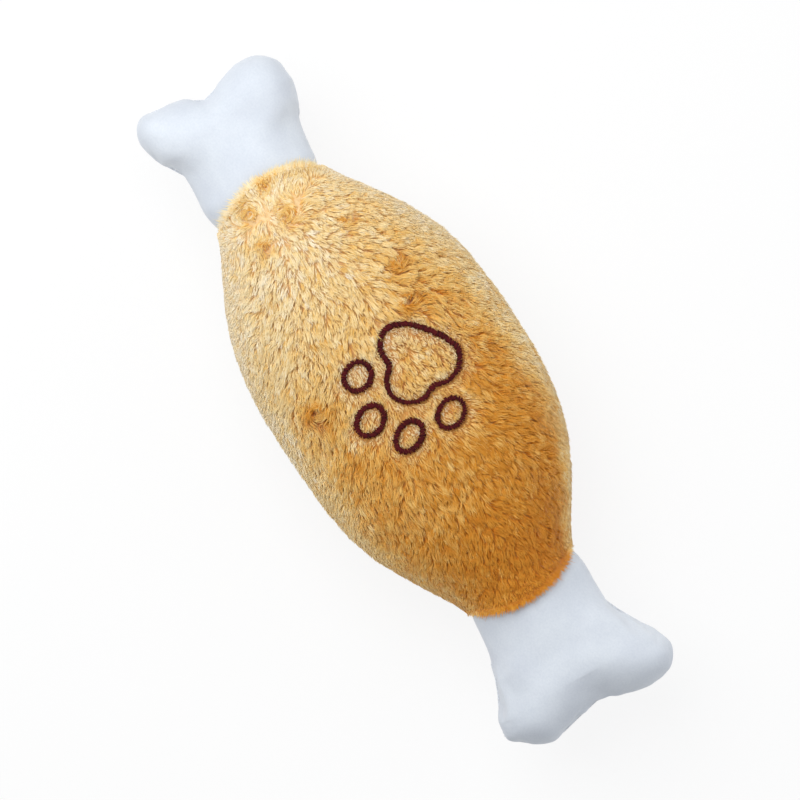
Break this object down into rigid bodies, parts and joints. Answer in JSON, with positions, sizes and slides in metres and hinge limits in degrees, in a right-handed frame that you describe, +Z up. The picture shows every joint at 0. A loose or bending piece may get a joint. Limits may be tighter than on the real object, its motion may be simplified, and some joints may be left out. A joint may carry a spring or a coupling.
{
  "type": "plush squeaky bone toy",
  "caption": "Stuffed plush bone for a dog: a squeezable caramel barrel with an embroidered paw outline, a squeaker inside, and white bone ends that bend at the necks.",
  "frame": {"origin": "middle of the toy's box, on the surface that the back panel lies on", "axes": "+X along the bone towards its larger end, +Z up out of the embroidered front, +Y towards the side with the paw's pad"},
  "size_m": [0.2292, 0.0814, 0.0646],
  "materials": {
    "caramel_plush": "short-pile plush",
    "white_fabric": "smooth short-nap plush",
    "maroon_thread": "satin-stitched embroidery thread",
    "caramel_thread": "sewing thread",
    "white_thread": "sewing thread",
    "fibre_fill": "loose polyester fibre",
    "backing_patch": "non-woven stabiliser",
    "bulb_plastic": "blown soft plastic",
    "insert_plastic": "moulded hard plastic"
  },
  "bodies": {
    "body": {"body_front_panel": "caramel_plush", "body_back_panel": "caramel_plush", "stuffing_core": "fibre_fill", "stuffing_lower": "fibre_fill", "stuffing_left_shoulder": "fibre_fill", "stuffing_right_shoulder": "fibre_fill", "body_seam_far": "caramel_thread", "body_seam_near_left": "caramel_thread", "body_seam_near_right": "caramel_thread", "closing_stitch": "caramel_thread", "left_neck_seam": "caramel_thread", "right_neck_seam": "caramel_thread", "squeaker_bladder": "bulb_plastic", "squeaker_housing": "insert_plastic", "squeaker_reed_bed": "insert_plastic", "squeaker_reed_wedge": "insert_plastic"},
    "crown": {"stuffing_upper": "fibre_fill", "embroidery_backing": "backing_patch", "paw_pad_outline": "maroon_thread", "paw_toe_outline_1": "maroon_thread", "paw_toe_outline_2": "maroon_thread", "paw_toe_outline_3": "maroon_thread", "paw_toe_outline_4": "maroon_thread"},
    "reed": {"squeaker_reed": "bulb_plastic"},
    "left_neck": {"left_neck_stuffing": "fibre_fill"},
    "left_end": {"left_end_front_panel": "white_fabric", "left_end_back_panel": "white_fabric", "left_end_seam": "white_thread", "left_end_stuffing": "fibre_fill"},
    "right_neck": {"right_neck_stuffing": "fibre_fill"},
    "right_end": {"right_end_front_panel": "white_fabric", "right_end_back_panel": "white_fabric", "right_end_seam": "white_thread", "right_end_stuffing": "fibre_fill"}
  },
  "joints": [
    {"name": "squeeze", "type": "slide", "parent": "body", "child": "crown", "axis": [0, 0, -1], "range_m": [0, 0.012], "stiffness_N_per_m": 1200, "deforming": ["body_front_panel", "stuffing_core", "squeaker_bladder"]},
    {"name": "left_end_lift", "type": "hinge", "parent": "body", "child": "left_neck", "pos_m": [-0.07925, -0.0022, 0.0315], "axis": [0, 1, 0], "range_deg": [-20, 20], "stiffness_Nm_per_rad": 0.1},
    {"name": "left_end_swing", "type": "hinge", "parent": "left_neck", "child": "left_end", "pos_m": [-0.07925, -0.0022, 0.0315], "axis": [0, 0, -1], "range_deg": [-20, 20], "stiffness_Nm_per_rad": 0.1},
    {"name": "right_end_lift", "type": "hinge", "parent": "body", "child": "right_neck", "pos_m": [0.07275, -0.0022, 0.0315], "axis": [0, -1, 0], "range_deg": [-20, 20], "stiffness_Nm_per_rad": 0.1},
    {"name": "right_end_swing", "type": "hinge", "parent": "right_neck", "child": "right_end", "pos_m": [0.07275, -0.0022, 0.0315], "axis": [0, 0, 1], "range_deg": [-20, 20], "stiffness_Nm_per_rad": 0.1},
    {"name": "reed_flutter", "type": "hinge", "parent": "body", "child": "reed", "pos_m": [-0.00282, 0, 0.01835], "axis": [0, 1, 0], "range_deg": [0, 3], "stiffness_Nm_per_rad": 0.0002}
  ]
}
